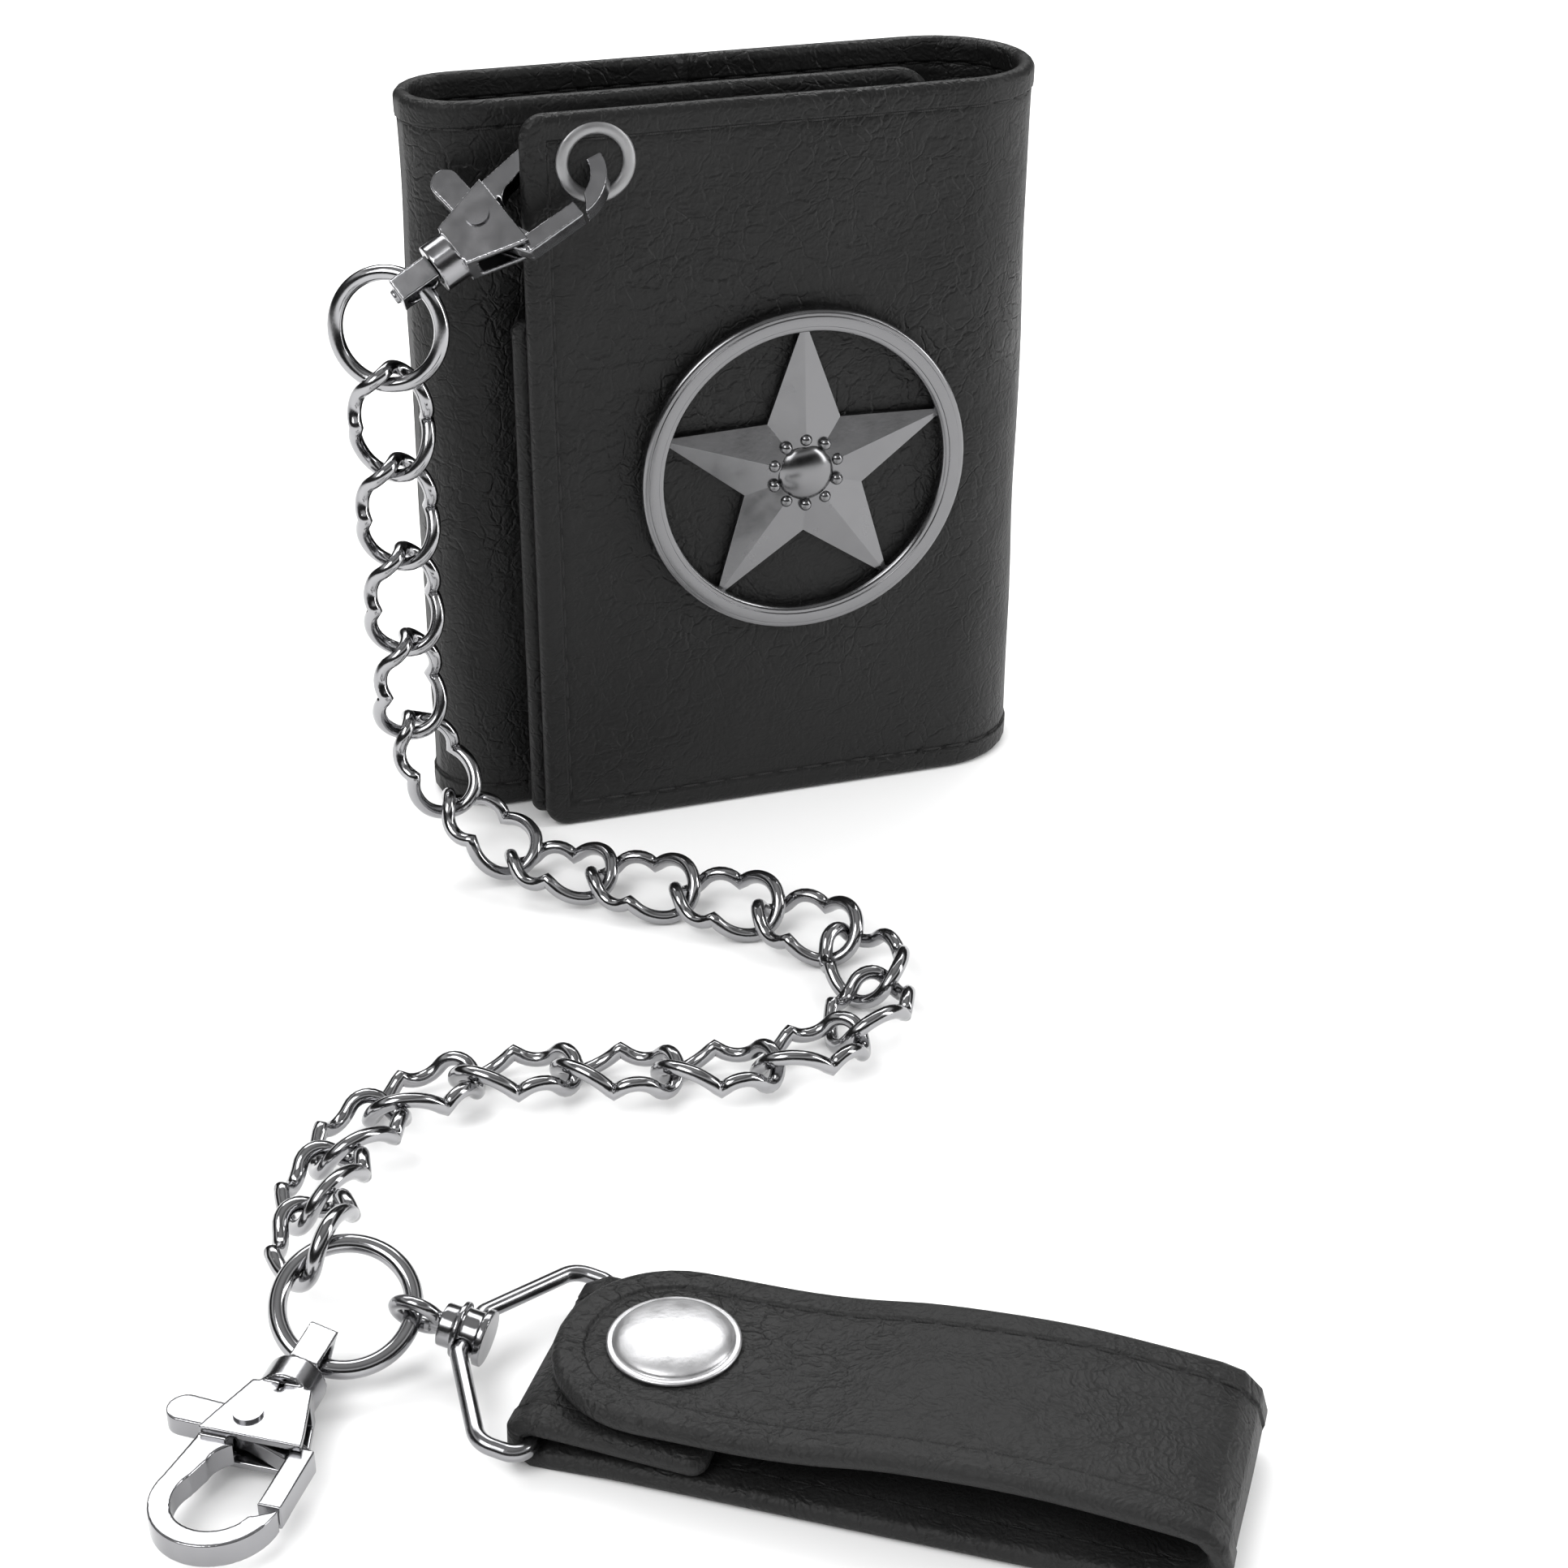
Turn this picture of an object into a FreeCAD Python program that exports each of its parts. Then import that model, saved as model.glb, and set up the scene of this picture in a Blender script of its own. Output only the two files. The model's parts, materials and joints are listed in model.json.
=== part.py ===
"""Chain wallet: a leather trifold wallet, a twisted-link chain and a snap belt loop.

Millimetres, +Z up. The wallet stands on its lower edges with its front towards -Y.
The model is laid out from the wallet's own bottom centre and moved at the end, so that
the origin is the bottom centre of the whole object's bounding box.
"""
import FreeCAD, Part
import math
import os

V = FreeCAD.Vector
Z = V(0, 0, 1)

# ---------------------------------------------------------------- driving sizes
WALLET_H = 110.0
WALLET_W = 93.0
WALLET_D = 27.7
LEATHER = 2.2
FLAP_EDGE_X = -33.0
FLAP_GAP = 7.0
FOLD_R = WALLET_D / 2
RIGHT_X = WALLET_W / 2 - FOLD_R
FRONT_Y = -FOLD_R
INNER_Y = FRONT_Y + LEATHER + FLAP_GAP
LEFT_R = (FOLD_R - INNER_Y) / 2
LEFT_X = -WALLET_W / 2 + LEFT_R
LEFT_Y = FOLD_R - LEFT_R
INNER_END_X = 30.5
CORNER_R = 3.5

POCKET_Z = (1.5, 80.6)
FRONT_POCKET_X = (-34.6, 28.0)
FRONT_POCKET_T = 2.4
INNER_POCKET_X = (-33.0, 27.0)
INNER_POCKET_Z = (1.5, 97.0)
INNER_POCKET_T = 2.2
BILL_POCKET_X = (-34.0, 31.0)
BILL_POCKET_Z = (1.5, 104.0)
BILL_POCKET_T = 1.8

EYELET = V(-22.6, FRONT_Y, 103.0)
EYELET_R = 5.7
EYELET_HOLE_R = 3.85
EYELET_WALL = 0.45
FLANGE_T = 0.5

EMBLEM_R = 25.0
EMBLEM = V(min(7.9, RIGHT_X - EMBLEM_R - 0.2), FRONT_Y, 54.5)
EMBLEM_RING_W = 3.4
EMBLEM_T = 2.4
STAR_TIP_R = EMBLEM_R - 0.5 * EMBLEM_RING_W
STAR_NOTCH_R = 9.6
STAR_EDGE_T = 1.0
BOSS_R = 4.4

RING_WIRE_R = 1.1
RING_R = 7.7
LINK_WIRE_R = 1.0
CHAIN_GAP = 0.2
RING_INNER = RING_R - RING_WIRE_R - CHAIN_GAP / 2

# link: an oval twisted about its length, so that its two ends lie in planes turned apart
LINK_HALF_L = 7.9
LINK_HALF_W = 5.1
LINK_TWIST = math.radians(110)
LINK_SIDE_SLOPE = math.radians(50)
LINK_REACH = LINK_HALF_L - LINK_WIRE_R - CHAIN_GAP / 2

FLOOR_LINK_Z = 3.75
SLACK = 0.4
# turns of the hanging links about their length, in degrees
HANGING_TURNS = (8, 18, 28, 40)
HANGING_LINKS = len(HANGING_TURNS)
# the two links that turn the hanging chain onto the floor: direction and side
LANDING = ((V(0.363, -0.352, -0.863), V(0.710, 0.704, 0.011)), (V(0.593, -0.631, -0.500), V(0.668, 0.733, -0.133)))
# links on the floor: plan headings from +X and rolls about their length, in degrees, and slopes
HEADINGS = (-38, -38, -40, -52, -90, -128, -166, 168, 160, 170, -156.7, -127.1, -109.7, -97)
ROLLS = (-9.2, 0, 0, 0, 0, 0, 0, 0, 0, 0, 1.9, 3.7, 10.2, 18.8)
SLOPES = (0, 0, 0, 0, 0, 0, 0, 0, 0, 0, 0.021, 0.095, 0.158, 0.21)

# clasp, along its own axis from the collar's outer end to the loop's far end
CLASP_L = 28.0
LOOP_R = 7.1
LOOP_HOLE_R = 4.7
LOOP_T = 3.0
BODY_T = 5.0
BODY_HALF_W = 5.4
NECK_X = 12.4
COLLAR_R = 3.5
COLLAR_L = 3.6
SLOT_T = 3.2
LEVER_T = 2.4
PIVOT = V(9.0, -1.6, 0)
PIVOT_R = 1.0
TAB = V(8.6, -9.4, 0)
TAB_R = 2.1
GATE_Y = 5.9
GATE_W = 2.6
GATE_END = 20.6
RUN = 0.05
STUD_R = 1.5
HEAD_R = 2.2
HEAD_T = 1.0
EYE_HOLE_R = 2.45
EYE_HALF_W = 1.7
EYE_X = -3.05
EYE_L = 6.2

TOP_CLASP = V(-46.0, -15.0, 90.4)
TOP_AXIS = V(0.87, 0.10, 0.48)
TOP_GATE_SIDE = V(0.369, -0.777, -0.509)
TOP_RING_TO_EYE = V(0.52, -0.12, 0.84)
TOP_RING_NORMAL = V(-0.42, -0.86, 0.29)

# lower ring: its plane holds RING2_E1 and RING2_E2
RING2_TILT = math.radians(28)
RING2_TURN = math.radians(-7)
RING2_LINK_ANGLE = math.radians(118.5)
CLASP2_ANGLE = math.radians(-127)
CLASP2_AXIS = V(-0.55, -0.835, -0.012)
CLASP2_GATE_SIDE = V(0.835, -0.55, 0)

# belt loop strap, along its own X from the bar to the far bend
STRAP_HEADING = math.radians(-34.5)
STRAP_W = 27.0
STRAP_T = 2.6
BAR_X = 2.2
BAR_R = 1.0
FOLD_IN_R = 1.4
FOLD_OUT_R = 3.0
TAIL_END_X = 22.0
BEND_X = 73.0
BEND_R = 5.4
SNAP_X = 14.3
SNAP_R = 7.5
FLAP_LOW_Z = 9.6
FLAP_CREST = (50.0, 12.0)
FLAP_DIP_X = 26.0
SOCKET_R = 4.6
SNAP_STUD_R = 2.2
POST_R = 1.6

# swivel, along its axis from the ring's wire, and the wire loop between it and the bar
SWIVEL_ANGLE = math.radians(-14)
SWIVEL_TO_BAR = 19.4
SWIVEL_NOSE_X = 7.0
SWIVEL_EYE_R = 2.75
SWIVEL_EYE_WIRE_R = 0.85
SWIVEL_EYE_X = 0.5
SWIVEL_DISC = (3.6, 5.4)
SWIVEL_DISC_R = 2.5
SWIVEL_BARREL = (5.5, 9.2)
SWIVEL_BARREL_R = 2.7
SWIVEL_FLANGE_R = 3.3
SWIVEL_STUD_R = 1.0
NOSE_HALF = 3.7
SHOULDER_X = 14.0
SHOULDER_HALF = 15.4


# ---------------------------------------------------------------- small helpers
def box(x0, x1, y0, y1, z0, z1):
    return Part.makeBox(x1 - x0, y1 - y0, z1 - z0, V(x0, y0, z0))


def frame(origin, x_dir, y_dir):
    """Placement matrix with the given X direction, and Y as near y_dir as it can be."""
    x = V(x_dir)
    x.normalize()
    y = V(y_dir) - x * x.dot(V(y_dir))
    y.normalize()
    z = x.cross(y)
    return FreeCAD.Matrix(x.x, y.x, z.x, origin.x, x.y, y.y, z.y, origin.y,
                          x.z, y.z, z.z, origin.z, 0, 0, 0, 1)


def placed(shape, matrix):
    return shape.transformed(matrix, True)


def round_panel(x0, x1, y0, y1, z0, z1, radii):
    """Upright plate; radii are its corners' in the order low left, low right, high right, high left."""
    corners = [V(x0, y0, z0), V(x1, y0, z0), V(x1, y0, z1), V(x0, y0, z1)]
    edges = []
    ends = []
    for i, r in enumerate(radii):
        c, before, after = corners[i], corners[i - 1], corners[(i + 1) % 4]
        to_b = (before - c).normalize()
        to_a = (after - c).normalize()
        middle = c + (to_b + to_a) * r * (1 - math.sqrt(0.5))
        ends.append((c + to_b * r, middle, c + to_a * r))
    for i in range(4):
        start, middle, end = ends[i]
        if radii[i] > 0:
            edges.append(Part.Arc(start, middle, end).toShape())
        edges.append(Part.makeLine(end, ends[(i + 1) % 4][0]))
    return Part.Face(Part.Wire(edges)).extrude(V(0, y1 - y0, 0))


def half_shell(cx, cy, r, t, side, height):
    """Half of an upright round shell, on the +X side (side 1) or the -X side (side -1)."""
    outer = Part.makeCylinder(r, height, V(cx, cy, 0))
    inner = Part.makeCylinder(r - t, height, V(cx, cy, 0))
    keep = box(cx, cx + r + 1, cy - r - 1, cy + r + 1, 0, height) if side > 0 else \
        box(cx - r - 1, cx, cy - r - 1, cy + r + 1, 0, height)
    return outer.cut(inner).common(keep)


def tube_arc(center, start, axis, angle, r):
    """Round wire along an arc: start is where it begins, angle in degrees about the axis."""
    radial = start - center
    tangent = V(axis).cross(radial)
    disc = Part.Face(Part.Wire(Part.makeCircle(r, start, tangent)))
    return disc.revolve(center, axis, angle)


def prism(points, z0, z1):
    face = Part.Face(Part.makePolygon(list(points) + [points[0]]))
    face.translate(V(0, 0, z0))
    return face.extrude(V(0, 0, z1 - z0))


# ---------------------------------------------------------------- wallet
def eyelet_bore(r):
    return Part.makeCylinder(r, 3 * WALLET_D, EYELET - V(0, WALLET_D, 0), V(0, 1, 0))


def make_front_cover():
    cover = round_panel(FLAP_EDGE_X, RIGHT_X, FRONT_Y, FRONT_Y + LEATHER, 0, WALLET_H,
                        (CORNER_R, 0, 0, CORNER_R))
    near = Part.makeCylinder(EYELET_HOLE_R + EYELET_WALL, 2 * LEATHER, EYELET - V(0, 0.5 * LEATHER, 0), V(0, 1, 0))
    return cover.cut(near)


def make_front_pocket():
    y = FRONT_Y + LEATHER
    return round_panel(*FRONT_POCKET_X, y, y + FRONT_POCKET_T, *POCKET_Z, (2, 2, 2, 2))


def make_inner_flap():
    return round_panel(LEFT_X, INNER_END_X, INNER_Y, INNER_Y + LEATHER, 0, WALLET_H, (0, 6, 6, 0))


def make_inner_pocket():
    y = INNER_Y + LEATHER
    return round_panel(*INNER_POCKET_X, y, y + INNER_POCKET_T, *INNER_POCKET_Z, (2, 2, 2, 2))


def make_back_cover():
    return box(LEFT_X, RIGHT_X, FOLD_R - LEATHER, FOLD_R, 0, WALLET_H)


def make_bill_pocket():
    y = FOLD_R - LEATHER
    return round_panel(*BILL_POCKET_X, y - BILL_POCKET_T, y, *BILL_POCKET_Z, (2, 2, 2, 2))


def make_eyelet():
    flange = Part.makeCylinder(EYELET_R, FLANGE_T, EYELET - V(0, FLANGE_T, 0), V(0, 1, 0))
    barrel = Part.makeCylinder(EYELET_HOLE_R + EYELET_WALL, LEATHER + FLANGE_T, EYELET, V(0, 1, 0))
    return flange.fuse(barrel).cut(eyelet_bore(EYELET_HOLE_R))


def make_eyelet_washer():
    ring = Part.makeCylinder(EYELET_R - 0.5, FLANGE_T, EYELET + V(0, LEATHER, 0), V(0, 1, 0))
    return ring.cut(eyelet_bore(EYELET_HOLE_R + EYELET_WALL))


def make_emblem():
    """Round badge: a ring round a faceted five-pointed star with a low boss in its middle."""
    ring = Part.makeCylinder(EMBLEM_R, EMBLEM_T).cut(Part.makeCylinder(EMBLEM_R - EMBLEM_RING_W, EMBLEM_T))
    outline = []
    for i in range(10):
        r = STAR_TIP_R if i % 2 == 0 else STAR_NOTCH_R
        angle = math.radians(36 * i)
        outline.append(V(r * math.sin(angle), r * math.cos(angle), 0))
    up = V(0, 0, STAR_EDGE_T)
    apex = V(0, 0, EMBLEM_T)
    faces = [Part.Face(Part.makePolygon(outline + [outline[0]]))]
    for i in range(10):
        a, b = outline[i], outline[(i + 1) % 10]
        faces.append(Part.Face(Part.makePolygon([a, b, b + up, a + up, a])))
        faces.append(Part.Face(Part.makePolygon([a + up, b + up, apex, a + up])))
    star = Part.Solid(Part.Shell(faces))
    boss = Part.makeCylinder(BOSS_R, EMBLEM_T)
    return placed(ring.fuse(star).fuse(boss), frame(EMBLEM, V(1, 0, 0), Z))


# ---------------------------------------------------------------- chain
def biarc(p0, t0, p1, t1):
    """Two arcs, tangent to each other, from p0 along t0 to p1 along t1: their starts, tangents and ends."""
    v = p1 - p0
    bend = 2 * (1 - t0.dot(t1))
    along = v.dot(t0 + t1)
    d = (math.sqrt(along ** 2 + bend * v.dot(v)) - along) / bend
    q0 = p0 + t0 * d
    q1 = p1 - t1 * d
    joint = (q0 + q1) / 2
    return [(p0, t0, joint), (joint, (q1 - q0).normalize(), p1)]


def wire_piece(start, tangent, end):
    """Round wire along the arc that leaves start along the tangent and reaches end."""
    chord = end - start
    normal = chord - tangent * chord.dot(tangent)
    normal.normalize()
    radius = chord.dot(chord) / (2 * chord.dot(normal))
    angle = 2 * math.degrees(math.atan2(chord.dot(normal), chord.dot(tangent)))
    return tube_arc(start + normal * radius, start, tangent.cross(normal), angle, LINK_WIRE_R)


def link_solid():
    """One twisted link, long axis X, centre at the origin."""
    turn = LINK_TWIST / 2
    pieces = []
    for end in (1, -1):
        tip = V(end * LINK_HALF_L, 0, 0)
        for s in (1, -1):
            leave = V(0, s * math.cos(turn), end * s * math.sin(turn))
            side = V(0, s * LINK_HALF_W, 0)
            arrive = V(-end * math.cos(LINK_SIDE_SLOPE), 0, -s * math.sin(LINK_SIDE_SLOPE))
            pieces += [wire_piece(*arc) for arc in biarc(tip, leave, side, arrive)]
    return pieces[0].multiFuse(pieces[1:]).removeSplitter()


def ring_solid():
    return Part.makeTorus(RING_R, RING_WIRE_R)


# ---------------------------------------------------------------- clasp, in its own frame
def plate(points, thickness):
    return prism(points, -thickness / 2, thickness / 2)


def disc(x, y, r, thickness):
    return Part.makeCylinder(r, thickness, V(x, y, -thickness / 2))


def make_clasp_body():
    """Collar, slotted block and open loop; the slot holds the lever and the loop's gap is swept by its gate."""
    loop_x = CLASP_L - LOOP_R
    side = BODY_HALF_W + 0.6
    body = plate([V(COLLAR_L, -COLLAR_R, 0), V(COLLAR_L, COLLAR_R, 0), V(10.0, BODY_HALF_W, 0),
                  V(NECK_X, side, 0), V(NECK_X, -side, 0), V(10.0, -BODY_HALF_W, 0)], BODY_T)
    arms = plate([V(NECK_X - 0.5, -side, 0), V(NECK_X - 0.5, side, 0),
                  V(loop_x, LOOP_R, 0), V(loop_x, -LOOP_R, 0)], LOOP_T)
    solid = body.fuse(arms).fuse(disc(loop_x, 0, LOOP_R, LOOP_T))
    solid = solid.fuse(Part.makeCylinder(COLLAR_R, COLLAR_L, V(0, 0, 0), V(1, 0, 0)))
    throat = 3.4
    opening = disc(loop_x, 0, LOOP_HOLE_R, 3 * BODY_T).fuse(disc(NECK_X + 3.6, 0, throat, 3 * BODY_T))
    opening = opening.fuse(plate([V(NECK_X + 3.6, -throat, 0), V(loop_x, -LOOP_HOLE_R, 0), V(loop_x, LOOP_HOLE_R, 0),
                                  V(NECK_X + 3.6, throat, 0)], 3 * BODY_T))
    solid = solid.cut(opening)
    reach = math.hypot(GATE_END - PIVOT.x, GATE_Y + GATE_W / 2 - PIVOT.y)
    gap = box(NECK_X + 0.1, CLASP_L, throat - 0.3, 2 * LOOP_R, -BODY_T, BODY_T)
    gap = gap.fuse(box(NECK_X + 0.1, NECK_X + 3.6, 0, throat, -BODY_T, BODY_T))
    solid = solid.cut(gap.common(disc(PIVOT.x, PIVOT.y, reach + 0.2, 3 * BODY_T)))
    slot_x = COLLAR_L + HEAD_T + 0.6
    half_slot = SLOT_T / 2
    solid = solid.cut(box(slot_x, NECK_X + 0.6, PIVOT.y - 1, 2 * LOOP_R, -half_slot, half_slot))
    solid = solid.cut(box(slot_x, PIVOT.x + 2.1, -2 * LOOP_R, PIVOT.y, -half_slot, half_slot))
    solid = solid.cut(Part.makeCylinder(STUD_R + RUN, COLLAR_L + 1, V(-0.5, 0, 0), V(1, 0, 0)))
    solid = solid.cut(Part.makeCylinder(HEAD_R + 0.2, HEAD_T + 0.4, V(COLLAR_L - 0.1, 0, 0), V(1, 0, 0)))
    return solid.cut(disc(PIVOT.x, PIVOT.y, PIVOT_R, 3 * BODY_T))


def make_lever():
    gate = box(NECK_X - 0.8, GATE_END, GATE_Y - GATE_W / 2, GATE_Y + GATE_W / 2, -LOOP_T / 2, LOOP_T / 2)
    arm = plate([V(7.4, 0.2, 0), V(NECK_X - 0.8, GATE_Y + GATE_W / 2, 0), V(NECK_X + 1.0, GATE_Y + GATE_W / 2, 0),
                 V(NECK_X + 1.0, GATE_Y - GATE_W / 2, 0), V(10.9, -1.6, 0)], LEVER_T)
    tab_arm = plate([V(PIVOT.x - 1.9, PIVOT.y, 0), V(PIVOT.x + 1.9, PIVOT.y, 0), V(TAB.x + TAB_R, TAB.y, 0),
                     V(TAB.x - TAB_R, TAB.y, 0)], LEVER_T)
    lever = gate.fuse(arm).fuse(tab_arm).fuse(disc(TAB.x, TAB.y, TAB_R, LEVER_T))
    lever = lever.fuse(disc(PIVOT.x, PIVOT.y, 2.0, LEVER_T))
    return lever.cut(disc(PIVOT.x, PIVOT.y, PIVOT_R + RUN, 3 * BODY_T)).removeSplitter()


def make_clasp_rivet():
    head = 1.7
    pin = disc(PIVOT.x, PIVOT.y, PIVOT_R, BODY_T + 0.8)
    for side in (-1, 1):
        z = side * (BODY_T / 2 + 0.2)
        pin = pin.fuse(Part.makeCylinder(head, 0.4, V(PIVOT.x, PIVOT.y, z - 0.2)))
    return pin


def make_clasp_spring():
    coil = Part.makeTorus(PIVOT_R + 0.45, 0.14, V(PIVOT.x, PIVOT.y, (LEVER_T / 2 + SLOT_T / 2) / 2))
    return coil


def make_swivel_eye():
    shank = Part.makeCylinder(STUD_R, COLLAR_L + 0.4, V(-0.3, 0, 0), V(1, 0, 0))
    head = Part.makeCylinder(HEAD_R, HEAD_T, V(COLLAR_L + 0.05, 0, 0), V(1, 0, 0))
    half = EYE_HOLE_R + 0.45
    block = box(-EYE_L, -0.12, -EYE_HALF_W, EYE_HALF_W, -half, half)
    hole = Part.makeCylinder(EYE_HOLE_R, 6, V(EYE_X, -3, 0), V(0, 1, 0))
    rivet = Part.makeCylinder(1.0, 0.7, V(-EYE_L - 0.6, 0, 0), V(1, 0, 0))
    return block.fuse(shank).fuse(head).fuse(rivet).cut(hole)


# ---------------------------------------------------------------- layout of chain, rings and clasps
def turned_basis(matrix):
    return [V(matrix.A11, matrix.A21, matrix.A31), V(matrix.A12, matrix.A22, matrix.A32),
            V(matrix.A13, matrix.A23, matrix.A33)]


def link_frame(joint, direction, side):
    """Frame of a link that hangs on a joint point and lies along a direction, flat towards its side."""
    x = V(direction).normalize()
    return frame(joint + x * LINK_REACH, x, side)


def lay_out():
    """Frames of the clasps, rings and links, and the points where they hang in each other."""
    where = {}
    joints = {}
    axis = V(TOP_AXIS).normalize()
    where["top_clasp"] = frame(TOP_CLASP, axis, TOP_GATE_SIDE)
    wire = TOP_CLASP + axis * EYE_X
    to_eye = V(TOP_RING_TO_EYE).normalize()
    normal = TOP_RING_NORMAL - to_eye * to_eye.dot(TOP_RING_NORMAL)
    normal.normalize()
    centre = wire - to_eye * RING_R
    tangent = normal.cross(to_eye)
    where["top_ring"] = frame(centre, to_eye, tangent)
    where["top_eye"] = frame(TOP_CLASP, axis, tangent)
    joints["top_ring"] = (wire, tangent)
    down = Z * -1 + normal * normal.z
    down.normalize()
    point = centre + down * RING_INNER

    steps = []
    for turn in HANGING_TURNS:
        angle = math.radians(turn)
        steps.append((V(0, 0, -1), V(math.cos(angle), math.sin(angle), 0), 0))
    steps += [(direction, side, SLACK) for direction, side in LANDING]
    for heading, roll, slope in zip(HEADINGS, ROLLS, SLOPES):
        angle = math.radians(heading)
        along = V(math.cos(angle), math.sin(angle), slope).normalize()
        level = Z.cross(along).normalize()
        tilt = math.radians(roll)
        steps.append((along, level * math.cos(tilt) + along.cross(level) * math.sin(tilt), SLACK))
    for number, (direction, side, slack) in enumerate(steps, 1):
        unit = V(direction).normalize()
        if number == HANGING_LINKS + len(LANDING):
            drop = (FLOOR_LINK_Z - point.z) / (2 * LINK_REACH - slack)
            level = V(unit.x, unit.y, 0).normalize() * math.sqrt(1 - drop ** 2)
            unit = V(level.x, level.y, drop)
        name = "link_%02d" % number
        joints[name] = (point, unit)
        where[name] = link_frame(point - unit * slack, unit, side)
        point = point + unit * (2 * LINK_REACH - slack)

    e1 = V(math.cos(RING2_TURN), math.sin(RING2_TURN), 0)
    e2 = Z.cross(e1) * math.cos(RING2_TILT) + Z * math.sin(RING2_TILT)
    to_link = e1 * math.cos(RING2_LINK_ANGLE) + e2 * math.sin(RING2_LINK_ANGLE)
    point = point - unit * SLACK * 0.75
    centre = point - to_link * RING_INNER
    where["lower_ring"] = frame(centre, e1, e2)
    joints["lower_ring"] = (point, e1)
    radial = e1 * math.cos(CLASP2_ANGLE) + e2 * math.sin(CLASP2_ANGLE)
    wire = centre + radial * RING_R
    axis = V(CLASP2_AXIS).normalize()
    start = wire - axis * EYE_X
    where["lower_clasp"] = frame(start, axis, CLASP2_GATE_SIDE)
    where["lower_eye"] = frame(start, axis, e1.cross(e2).cross(radial))
    joints["lower_eye"] = (wire, e1.cross(e2).cross(radial))
    return where, joints


# ---------------------------------------------------------------- swivel and wire loop, in the swivel's frame
def rounded_wire(corners, radii, r):
    """Closed round wire along a polygon whose corners are rounded."""
    count = len(corners)
    pieces = []
    ends = []
    for i in range(count):
        c = corners[i]
        to_b = (corners[i - 1] - c).normalize()
        to_a = (corners[(i + 1) % count] - c).normalize()
        half = to_b.getAngle(to_a) / 2
        run = radii[i] / math.tan(half)
        start = c + to_b * run
        centre = c + (to_b + to_a).normalize() * (radii[i] / math.sin(half))
        pieces.append(tube_arc(centre, start, (to_b * -1).cross(to_a), 180 - 2 * math.degrees(half), r))
        ends.append((start, c + to_a * run))
    for i in range(count):
        start = ends[i][1]
        span = ends[(i + 1) % count][0] - start
        pieces.append(Part.makeCylinder(r, span.Length, start, span))
    return pieces[0].multiFuse(pieces[1:]).removeSplitter()


def x_cylinder(r, x0, x1):
    return Part.makeCylinder(r, x1 - x0, V(x0, 0, 0), V(1, 0, 0))


def make_swivel_link():
    eye = Part.makeTorus(SWIVEL_EYE_R, SWIVEL_EYE_WIRE_R, V(SWIVEL_EYE_X, 0, 0), V(0, 1, 0))
    half = eye.fuse(x_cylinder(SWIVEL_DISC_R, *SWIVEL_DISC))
    half = half.cut(x_cylinder(1.5, SWIVEL_EYE_X + 1, SWIVEL_EYE_X + SWIVEL_EYE_R - SWIVEL_EYE_WIRE_R))
    return half.cut(x_cylinder(SWIVEL_STUD_R + RUN, SWIVEL_EYE_X + 1, SWIVEL_BARREL[0]))


def make_swivel_barrel():
    x0, x1 = SWIVEL_BARREL
    barrel = x_cylinder(SWIVEL_BARREL_R, x0, x1).fuse(x_cylinder(SWIVEL_FLANGE_R, x1 - 0.9, x1))
    barrel = barrel.fuse(x_cylinder(SWIVEL_FLANGE_R, x0, x0 + 0.6))
    cross = Part.makeCylinder(BAR_R + RUN, 8, V(SWIVEL_NOSE_X, -4, 0), V(0, 1, 0))
    return barrel.cut(cross)


def make_swivel_stud():
    head_x = SWIVEL_EYE_X + SWIVEL_EYE_R - SWIVEL_EYE_WIRE_R - 0.05
    stud = x_cylinder(SWIVEL_STUD_R, head_x, SWIVEL_BARREL[0])
    return stud.fuse(x_cylinder(1.4, head_x - 0.5, head_x))


def make_wire_loop():
    corners = [V(SWIVEL_NOSE_X, -NOSE_HALF, 0), V(SHOULDER_X, -SHOULDER_HALF, 0), V(SWIVEL_TO_BAR, -SHOULDER_HALF, 0),
               V(SWIVEL_TO_BAR, SHOULDER_HALF, 0), V(SHOULDER_X, SHOULDER_HALF, 0), V(SWIVEL_NOSE_X, NOSE_HALF, 0)]
    return rounded_wire(corners, (1.6, 3.0, 2.2, 2.2, 3.0, 1.6), BAR_R)


# ---------------------------------------------------------------- strap, in its own frame
def across(points, half_w):
    """Solid of a side profile, given as (x, z) pairs, over the strap's width."""
    outline = [V(x, -half_w, z) for x, z in points]
    return Part.Face(Part.makePolygon(outline + [outline[0]])).extrude(V(0, 2 * half_w, 0))


def y_ring(x, z, r_out, r_in, half_w):
    outer = Part.makeCylinder(r_out, 2 * half_w, V(x, -half_w, z), V(0, 1, 0))
    return outer.cut(Part.makeCylinder(r_in, 2 * half_w, V(x, -half_w, z), V(0, 1, 0)))


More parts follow.
